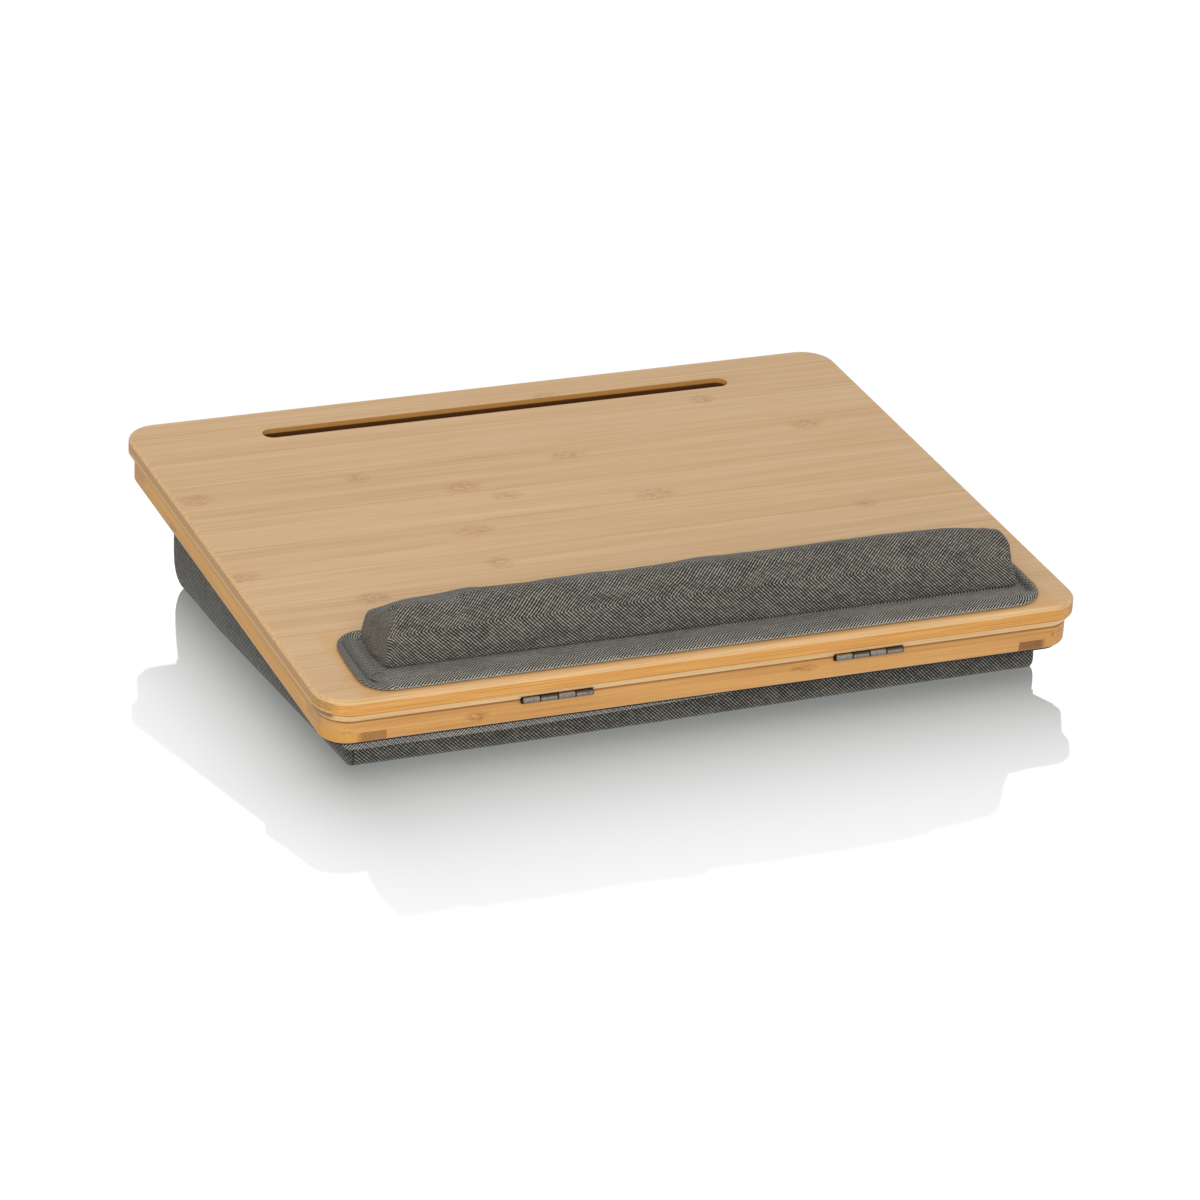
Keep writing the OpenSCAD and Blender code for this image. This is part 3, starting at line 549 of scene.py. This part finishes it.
def swell(obj, held, pressure, cap, frames=20, slack=0.02):
    """Fills obj by a cloth simulation with the held points fixed; no point moves further than cap, in metres."""
    group = obj.vertex_groups.new(name="held")
    group.add([int(i) for i in held], 1.0, "REPLACE")
    before = np.array([v.co for v in obj.data.vertices], float)
    cloth = obj.modifiers.new("cloth", "CLOTH")
    cloth.settings.vertex_group_mass = "held"
    cloth.settings.use_pressure = True
    cloth.settings.uniform_pressure_force = pressure
    cloth.settings.shrink_min = -slack
    cloth.settings.quality = 6
    cloth.settings.effector_weights.gravity = 0.0
    cloth.collision_settings.use_collision = False
    cloth.point_cache.frame_start = 1
    cloth.point_cache.frame_end = frames
    for number in range(1, frames + 1):
        bpy.context.scene.frame_set(number)
    filled = obj.evaluated_get(bpy.context.evaluated_depsgraph_get())
    after = np.array([v.co for v in filled.data.vertices], float)
    obj.modifiers.remove(cloth)
    obj.vertex_groups.remove(group)
    bpy.context.scene.frame_set(1)
    shift = after - before
    far = np.linalg.norm(shift, axis=1)[:, None]
    shift *= np.minimum(1.0, cap / np.maximum(far, 1e-9))
    shift[np.asarray(held, int)] = 0.0
    obj.data.vertices.foreach_set("co", (before + shift).astype(np.float32).ravel())
    obj.data.update()


def subdivide(obj, levels=1):
    """Subdivides obj's mesh for good."""
    subsurf = obj.modifiers.new("subdivision", "SUBSURF")
    subsurf.levels = subsurf.render_levels = levels
    subsurf.boundary_smooth = "PRESERVE_CORNERS"
    mesh = bpy.data.meshes.new_from_object(obj.evaluated_get(bpy.context.evaluated_depsgraph_get()))
    obj.modifiers.remove(subsurf)
    old = obj.data
    obj.data = mesh
    bpy.data.meshes.remove(old)
    for polygon in mesh.polygons:
        polygon.use_smooth = True


# the wrist rest: a base with a rolled edge binding, and a stuffed bar sewn on it
REST = (-194.4, 201.2, 1.2, 69.0)
REST_CORNERS = (21.0, 15.0, 17.0, 16.0)
PAD = (-180.0, 192.4, 19.5, 62.5)
SEAM_LEVEL = 16.9
# the base's section at its rolled edge as (distance from the edge, height, rise at the left and right ends), and
# further in with the share of the way to the bar in place of the distance
FLANGE_EDGE = (
    (1.2, 0.0, 0.0, 0.0), (0.35, 0.35, 0.0, 0.0), (0.0, 0.9, 0.0, 0.0), (0.15, 1.5, 0.0, 0.0), (0.7, 2.05, 0.0, 0.1),
    (1.6, 2.4, 0.1, 0.3), (2.6, 2.5, 0.2, 0.4), (3.6, 2.35, -0.1, 0.3), (4.6, 2.1, -0.6, -0.1),
    (5.6, 1.95, -1.0, -0.5), (6.4, 1.9, -0.5, -0.8), (7.2, 1.9, 0.5, -0.9), (8.0, 1.95, 1.1, -0.9),
    (9.0, 2.05, 1.4, -0.8), (9.8, 2.15, 1.5, -0.7),
)
FLANGE_INWARD = (
    (0.2, 2.22, 1.4, -0.6), (0.4, 2.28, 1.1, -0.5), (0.6, 2.32, 0.5, -0.4), (0.8, 2.38, -0.5, -0.4),
    (1.0, 2.44, -0.9, -0.3),
)


def make_flange():
    floor = LID_TOP + 0.03
    count = len(outline(*REST, REST_CORNERS))

    def inset(d):
        radii = [max(r - d, 2.0) for r in REST_CORNERS]
        ring = outline(REST[0] + d, REST[1] - d, REST[2] + d, REST[3] - d, radii)
        # the left end narrows a little towards the rear
        ring[:, 0] += 1.8 * smooth(ring[:, 1], 30.0, 62.0) * smooth(ring[:, 0], -165.0, -190.0)
        return ring

    foot = outline(PAD[0] + 0.6, PAD[1] - 0.6, PAD[2] + 0.4, PAD[3] - 0.4, 5.0)
    edge = inset(0.0)
    # the valley inside the rolled edge is deep at the two ends and faint along the front and rear
    half = (REST[1] - REST[0]) / 2
    at_end = smooth(np.abs(edge[:, 0] - (REST[0] + REST[1]) / 2), half - 10.0, half - 1.0)
    places = [(inset(d), *more) for d, *more in FLANGE_EDGE]
    start = places[-1][0]
    places += [(start + (foot - start) * share, *more) for share, *more in FLANGE_INWARD]
    rings = []
    for plan, h, left, right in places:
        # the raised strip beside the bar ends at a mitre in front
        strip = smooth(plan[:, 1], 12.6, 14.6) * smooth(plan[:, 1], 64.0, 61.0)
        rise = np.where(plan[:, 0] < 0, left * (strip if left > 0 else 1.0), right)
        rings.append(np.column_stack([plan, floor + h + rise * at_end]))
    deep = outline(PAD[0] + 6, PAD[1] - 6, PAD[2] + 6, PAD[3] - 6, 3.0)
    rings.append(np.column_stack([deep, np.full(count, floor + 2.44)]))
    for ring in rings[2:-2]:
        height = ring[:, 2] - floor
        along = lumps(ring, 26.0, 3) * 0.22 + lumps(ring, 8.0, 5) * 0.12
        fold = 0.75 * np.exp(-(((ring[:, 0] - 9.5) / 9.0) ** 2) - ((ring[:, 1] - 9.6) / 1.7) ** 2)
        ring[:, 2] += along * np.clip(height / 2.0, 0, 1) + fold
        ring[:, 2] = np.maximum(ring[:, 2], floor + 0.05)
    return ring_mesh("wrist_rest_flange", rings)


# the bar's section as (v, w), from the front seam over the crest to the rear seam
PAD_SECTION = np.array([
    (20.6, SEAM_LEVEL), (19.9, 19.5), (19.5, 23.0), (19.7, 28.0), (20.5, 33.0), (21.8, 38.0), (23.6, 42.0),
    (26.0, 45.6), (29.3, 48.2), (33.5, 49.2), (38.5, 48.2), (44.5, 45.7), (50.5, 43.0), (55.5, 40.2), (59.2, 36.8),
    (61.4, 32.5), (62.4, 27.5), (62.4, 22.5), (61.8, 19.0), (60.9, SEAM_LEVEL),
])
PAD_MIDDLE = 41.0
# half the bar's length between its ends, in steps of which the rings are set
PAD_HALF = 188.5
# the ends' places as (w, u): they lean in towards the top
PAD_LEFT = ((16.9, 25, 31, 38, 43, 49.5), (-177.3, -177.4, -177.0, -176.3, -174.4, -169.8))
PAD_RIGHT = ((16.9, 25, 32, 38, 44, 49.5), (190.6, 188.6, 187.2, 186.6, 185.8, 181.8))


def make_pad():
    """Rings round the bar at places along it, with flat ends whose edges are rounded."""
    step = np.linalg.norm(np.diff(PAD_SECTION, axis=0), axis=1)
    arc = np.concatenate([[0], np.cumsum(step)])
    s = np.linspace(0, arc[-1], 34)
    over = np.column_stack([np.interp(s, arc, PAD_SECTION[:, 0]), np.interp(s, arc, PAD_SECTION[:, 1])])
    under_v = np.linspace(over[-1, 0], over[0, 0], 12)[1:-1]
    loop = np.concatenate([over, np.column_stack([under_v, np.full(len(under_v), SEAM_LEVEL)])])
    under_width = over[-1, 0] - over[0, 0]
    run = np.concatenate([s, arc[-1] + np.abs(under_v - over[-1, 0]), [arc[-1] + under_width]])
    radius = 3.0
    half_depth = (PAD[3] - PAD[2]) / 2
    turns = np.radians(np.linspace(0, 90, 6))
    # each ring as (distance from the end, share of the whole section)
    stops = [(0.0, k) for k in (0.06, 0.25, 0.45, 0.63, 0.78)]
    flat_bands = len(stops)
    stops += [(radius * (1 - math.cos(a)), 1 - radius * (1 - math.sin(a)) / half_depth) for a in turns]
    inner = [(d, 1.0) for d in np.linspace(radius, PAD_HALF, 44)[1:]]
    left = [(d, k, 0) for d, k in stops + inner]
    right = [(d, k, 1) for d, k in (stops + inner[:-1])][::-1]
    rings, weave, faces = [], [], []
    for d, k, side in left + right:
        tall = 1 - (1 - k) * 0.8 if k > 0.7 else k
        v = PAD_MIDDLE + (loop[:, 0] - PAD_MIDDLE) * k
        w = SEAM_LEVEL + (loop[:, 1] - SEAM_LEVEL) * tall
        u_left, u_right = np.interp(w, *PAD_LEFT), np.interp(w, *PAD_RIGHT)
        bulge = 1.6 * (1 - k) if d == 0 else 0.0
        half = (u_right - u_left) / 2
        share = np.minimum(d / PAD_HALF, 1.0)
        u = u_left + share * half - bulge if side == 0 else u_right - share * half + bulge
        ring = np.column_stack([u, v, w])
        rings.append(ring)
        weave.append(np.column_stack([np.append(u, u[0]), run]))
        faces.append(np.column_stack([v + END_MAP - 100.0, w]))
    seam = np.tile((loop[:, 1] < SEAM_LEVEL + 0.01), len(rings))
    points = np.concatenate(rings)
    free = np.clip((points[:, 2] - SEAM_LEVEL) / 5.0, 0, 1)
    soft = lumps(points, 34.0, 41) * 0.55 + lumps(points, 13.0, 43) * 0.22
    soft += lumps(points * (0.16, 1.0, 1.0), 6.5, 53) * 0.5
    pucker = lumps(points * (1.0, 0.4, 0.4), 5.5, 47) * 0.28
    pucker *= 1 - smooth(points[:, 2], SEAM_LEVEL + 1, SEAM_LEVEL + 9)
    # the crest sinks towards both ends
    tall = np.clip((points[:, 2] - SEAM_LEVEL) / 32.0, 0, 1) ** 1.5
    sag = 1.5 * smooth(points[:, 0], -118.0, -140.0) + 0.5 * smooth(points[:, 0], -150.0, -174.0)
    sag += 4.5 * smooth(points[:, 0], -156.0, -175.0) * smooth(points[:, 1], 35.0, 50.0)
    sag += 0.7 * smooth(points[:, 0], 110.0, 150.0) + 2.7 * smooth(points[:, 0], 150.0, 184.0)
    sag -= 0.8 * smooth(np.abs(points[:, 0] - 55.0), 90.0, 40.0)
    points[:, 2] -= sag * tall
    centre = np.array([0.0, PAD_MIDDLE, 30.0])
    out = (points - centre) * (0.0, 1.0, 1.0)
    out /= np.maximum(np.linalg.norm(out, axis=1)[:, None], 1.0)
    points += out * ((soft + pucker) * free)[:, None]
    ends = smooth(np.abs(points[:, 0] - 6.0), 175.0, 181.0)
    points[:, 0] += lumps(points * (0.2, 1.0, 1.0), 6.0, 61) * 0.7 * free * ends
    rings = list(points.reshape(len(rings), -1, 3))
    pad = ring_mesh("wrist_rest_pad", rings, np.stack(weave), (flat_bands, np.stack(faces)))
    return pad, np.flatnonzero(seam)


flange = make_flange()
to_board(flange)
dress(flange, tape_cloth)
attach(flange, "lid")
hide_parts("wrist_rest_base", "wrist_rest_binding")

pad, pad_seam = make_pad()
to_board(pad)
swell(pad, pad_seam, 4.0, 0.0012)
subdivide(pad)
dress(pad, pad_cloth)
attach(pad, "lid")
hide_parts("wrist_rest_cover", "wrist_rest_foam")

# the cushion: its sides run from a rounded foot up to a tape under the floor panel
CUSHION = (-199.0, 205.6, -153.0, 151.63)
CUSHION_CORNERS = (4.0, 12.0, 12.0, 4.0)
TAPE_HIGH = -15.15


def board_height(y, w):
    """The height in mm of the board's level w above a place y of the row frame, in mm."""
    return BOARD_ORIGIN.z / MM + (y - BOARD_ORIGIN.y / MM) * math.tan(TILT) + w / math.cos(TILT)


def outward(ring):
    """Unit vectors that point out of a plan outline."""
    along = np.roll(ring, -1, 0) - np.roll(ring, 1, 0)
    out = np.column_stack([along[:, 1], -along[:, 0]])
    return out / np.linalg.norm(out, axis=1)[:, None]


def to_row(obj):
    co = np.array([v.co for v in obj.data.vertices], float) * MM
    obj.data.vertices.foreach_set("co", co.astype(np.float32).ravel())
    obj.data.update()


def cushion_plan(per_corner, counts):
    """The cushion's outline under the tape: its front edge draws back towards the right."""
    base = outline(*CUSHION, CUSHION_CORNERS, per_corner, counts)
    near = smooth(base[:, 1], 0.0, CUSHION[2])
    base[:, 1] += 6.0 * smooth(base[:, 0], -130.0, 205.0) * near
    return base


def tape_low(base):
    """The tape's lower edge: it rises slightly towards the right."""
    return -25.3 + 3.6 * smooth(base[:, 0], -150.0, 200.0)


def make_cushion():
    base = cushion_plan(10, (150, 110))
    out = outward(base)
    tall = board_height(base[:, 1], tape_low(base))
    behind = smooth(base[:, 1], CUSHION[2] + 10.0, CUSHION[3] - 60.0)
    rise = 4.5 + 12.5 * behind
    side = np.abs(out[:, 0])
    # how far the rounded foot draws in, at the two sides and elsewhere
    at_side = np.where(out[:, 0] < 0, 2.4 + 3.5 * smooth(base[:, 1], 60.0, 150.0), 2.0 + 8.0 * behind)
    draw = (1 - side) * (3.0 + 9.0 * behind) + side * at_side
    flat = np.column_stack([base, np.zeros(len(base))])
    broad, fine = lumps(flat, 55.0, 11), lumps(flat, 11.0, 17)
    wavy = 0.5 * lumps(flat, 38.0, 23) * (0.3 + 0.7 * behind)
    rings = []
    # closer rings up the foot, then even ones up to the tape
    foot_rings, side_rings = 14, 14
    shares = np.linspace(0, 1, foot_rings) ** 1.6
    for k in range(foot_rings + side_rings):
        if k < foot_rings:
            height = shares[k] * rise
        else:
            height = rise + (tall - rise) * ((k - foot_rings + 1) / side_rings)
        height = np.minimum(height, tall)
        below = np.clip((rise - height) / (rise + 0.5), 0, 1)
        inset = draw * (1 - np.sqrt(np.clip(1 - below * below, 0, 1)))
        up = height / tall
        bulge = np.sin(np.pi * up) * (0.5 + 0.35 * broad + 0.5 * behind)
        pucker = 0.30 * fine * smooth(up, 0.45, 0.9) * (1 - smooth(up, 0.97, 1.0))
        foot = wavy * (1 - smooth(up, 0.0, 0.55)) * smooth(height, 0.0, 3.0)
        place = base + out * (bulge + pucker + foot - inset)[:, None]
        rings.append(np.column_stack([place, height]))
    under = base - out * 1.6
    rings.append(np.column_stack([under, board_height(under[:, 1], tape_low(under))]))
    rings.append(np.column_stack([under, board_height(under[:, 1], TAPE_HIGH)]))
    return ring_mesh("cushion_body", rings)


def make_tape():
    base = cushion_plan(16, (200, 150))
    out = outward(base)
    flat = np.column_stack([base, np.zeros(len(base))])
    ripple = lumps(flat, 8.0, 31) * 0.12 + lumps(flat, 45.0, 37) * 0.15
    low = tape_low(base)
    middle = (low + TAPE_HIGH) / 2 + 1.0
    # how far each ring stands out, and its level in the board's frame
    profile = ((-0.7, low + 0.1), (0.5, low - 0.05), (1.1, low + 0.3), (1.3, low + 0.9), (1.2, low + 3.0),
               (1.3, middle), (1.2, TAPE_HIGH - 0.8), (0.8, TAPE_HIGH - 0.15), (-0.7, TAPE_HIGH))
    rings = []
    for reach, level in profile:
        place = base + out * (reach + ripple * (reach > 0) - 0.3)[:, None]
        rings.append(np.column_stack([place, board_height(place[:, 1], level)]))
    return ring_mesh("cushion_tape", rings)


cushion = make_cushion()
to_row(cushion)
dress(cushion, cushion_cloth)
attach(cushion, "tray")
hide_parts("cushion_cover", "cushion_filling")

tape = make_tape()
to_row(tape)
dress(tape, edge_cloth)
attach(tape, "tray")
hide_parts("cushion_binding")

dress(nodes["tray_floor"], floor_cloth)

# ---------------------------------------------------------------- stage, light and camera


EYE = Vector((-1.036364, -2.543731, 1.014893))
EYE_YAW, EYE_PITCH = math.radians(22.278), math.radians(19.987)
# the floor's strips run away from the viewer, each between two angles from the middle of the view
STRIP_EDGES = (-34.0, -3.96, -1.32, 1.32, 3.96, 34.0)
STRIP_TURNS = (-5.0, -2.64, 0.0, 2.64, 4.8)
STRIP_NEAR, STRIP_FAR = 0.4, 9.0
FLOOR_LIGHT_PITCH = 21.4
# the rectangle that the cushion stands on, and how far from it the floor's shade fades
FOOT_HALF_X, FOOT_HALF_Y, FOOT_MIDDLE_Y = 0.195, 0.146, -0.003
SHADE_REACH = 0.106


def floor_material():
    s = Shader("floor")
    place = s.add("ShaderNodeTexCoord").outputs["Object"]
    x, y, _ = s.split(place)
    # the distance outside the cushion's foot, counted double on the left
    right, left = s.math("SUBTRACT", x, FOOT_HALF_X), s.math("MULTIPLY_ADD", x, -1.96, -0.382)
    dx = s.math("MAXIMUM", s.math("MAXIMUM", right, left), 0.0)
    dy = s.math("ABSOLUTE", s.math("SUBTRACT", y, FOOT_MIDDLE_Y))
    dy = s.math("MAXIMUM", s.math("SUBTRACT", dy, FOOT_HALF_Y), 0.0)
    away = s.math("SQRT", s.math("ADD", s.math("MULTIPLY", dx, dx), s.math("MULTIPLY", dy, dy)))
    fade = s.math("POWER", s.math("DIVIDE", away, SHADE_REACH), 1.33)
    share = s.math("EXPONENT", s.math("MULTIPLY", fade, -1.0))
    sight = s.add("ShaderNodeLightPath").outputs["Is Camera Ray"]
    white = s.add("ShaderNodeEmission", None, Color=(1, 1, 1, 1), Strength=1.0)
    matt = s.add("ShaderNodeBsdfDiffuse", None, Color=(0.212, 0.218, 0.208, 1))
    base = s.add("ShaderNodeEmission", None, Color=(0.96, 1.0, 0.96, 1), Strength=0.17)
    shaded = s.add("ShaderNodeAddShader", None, i0=matt.outputs[0], i1=base.outputs[0])
    seen = s.add("ShaderNodeMixShader", None, i0=share, i1=white.outputs[0], i2=shaded.outputs[0])
    pale = s.add("ShaderNodeEmission", None, Color=(1, 1, 1, 1), Strength=0.8)
    both = s.add("ShaderNodeMixShader", None, i0=sight, i1=pale.outputs[0], i2=seen.outputs[0])
    s.tree.links.new(both.outputs[0], s.output.inputs[0])
    return s.material


def make_stage():
    """Floor strips, each with a low light from behind that draws the object's shadow towards the photo's viewer."""
    material = floor_material()
    for number, (first, second) in enumerate(zip(STRIP_EDGES, STRIP_EDGES[1:])):
        corners = []
        for angle, far in ((first, STRIP_NEAR), (second, STRIP_NEAR), (second, STRIP_FAR), (first, STRIP_FAR)):
            way = EYE_YAW + math.radians(angle)
            corners.append((EYE.x + far * math.sin(way), EYE.y + far * math.cos(way), -0.0002))
        mesh = bpy.data.meshes.new("floor")
        mesh.from_pydata(corners, [], [(0, 1, 2, 3)])
        strip = bpy.data.objects.new("floor_%d" % number, mesh)
        bpy.context.scene.collection.objects.link(strip)
        dress(strip, material)
        data = bpy.data.lights.new("floor_light", "SUN")
        data.energy = 36.0
        data.angle = math.radians(0.6)
        lamp = bpy.data.objects.new("floor_light_%d" % number, data)
        yaw, pitch = EYE_YAW + math.radians(STRIP_TURNS[number]), math.radians(FLOOR_LIGHT_PITCH)
        way = Vector((-math.sin(yaw) * math.cos(pitch), -math.cos(yaw) * math.cos(pitch), -math.sin(pitch)))
        lamp.rotation_mode = "QUATERNION"
        lamp.rotation_quaternion = way.to_track_quat("-Z", "Y")
        lamp.location = -way * 2.0
        bpy.context.scene.collection.objects.link(lamp)
        only = bpy.data.collections.new("floor_only_%d" % number)
        only.objects.link(strip)
        lamp.light_linking.receiver_collection = only


make_stage()

def make_world():
    """Soft even light; rays that meet the eye straight, by gloss or through glass see plain white."""
    world = bpy.data.worlds.new("world")
    bpy.context.scene.world = world
    world.use_nodes = True
    tree = world.node_tree
    tree.nodes.clear()
    path = tree.nodes.new("ShaderNodeLightPath")
    seen = path.outputs["Is Camera Ray"]
    for other in ("Is Glossy Ray", "Is Transmission Ray"):
        either = tree.nodes.new("ShaderNodeMath")
        either.operation = "MAXIMUM"
        tree.links.new(seen, either.inputs[0])
        tree.links.new(path.outputs[other], either.inputs[1])
        seen = either.outputs[0]
    blend = tree.nodes.new("ShaderNodeMixShader")
    tree.links.new(seen, blend.inputs[0])
    for number, strength in ((1, 0.5), (2, 1.0)):
        back = tree.nodes.new("ShaderNodeBackground")
        back.inputs["Color"].default_value = (1, 1, 1, 1)
        back.inputs["Strength"].default_value = strength
        tree.links.new(back.outputs[0], blend.inputs[number])
    out = tree.nodes.new("ShaderNodeOutputWorld")
    tree.links.new(blend.outputs[0], out.inputs[0])


make_world()


def area_light(name, place, target, size, power):
    data = bpy.data.lights.new(name, "AREA")
    data.shape = "RECTANGLE"
    data.size, data.size_y = size
    data.energy = power
    obj = bpy.data.objects.new(name, data)
    obj.location = place
    obj.rotation_mode = "QUATERNION"
    obj.rotation_quaternion = (Vector(target) - Vector(place)).to_track_quat("-Z", "Y")
    obj.visible_glossy = False
    bpy.context.scene.collection.objects.link(obj)


area_light("top_light", (-0.5, 0.3, 1.6), (0, 0, 0.05), (1.6, 1.2), 5.0)
area_light("front_light", (-0.6, -1.8, 0.8), (0, 0, 0.05), (1.6, 1.0), 19.0)


def make_camera():
    data = bpy.data.cameras.new("camera")
    data.sensor_width = 36.0
    data.lens = 155.854
    data.clip_start, data.clip_end = 0.1, 30.0
    camera = bpy.data.objects.new("camera", data)
    yaw, pitch, roll = EYE_YAW, EYE_PITCH, math.radians(0.566)
    ahead = Vector((math.sin(yaw) * math.cos(pitch), math.cos(yaw) * math.cos(pitch), -math.sin(pitch)))
    right = Vector((math.cos(yaw), -math.sin(yaw), 0.0))
    up = right.cross(ahead)
    across = right * math.cos(roll) + up * math.sin(roll)
    above = up * math.cos(roll) - right * math.sin(roll)
    turn = Matrix((across, above, -ahead)).transposed().to_4x4()
    camera.matrix_world = Matrix.Translation(EYE) @ turn
    bpy.context.scene.collection.objects.link(camera)
    bpy.context.scene.camera = camera


make_camera()
scene = bpy.context.scene
scene.view_settings.view_transform = "Standard"
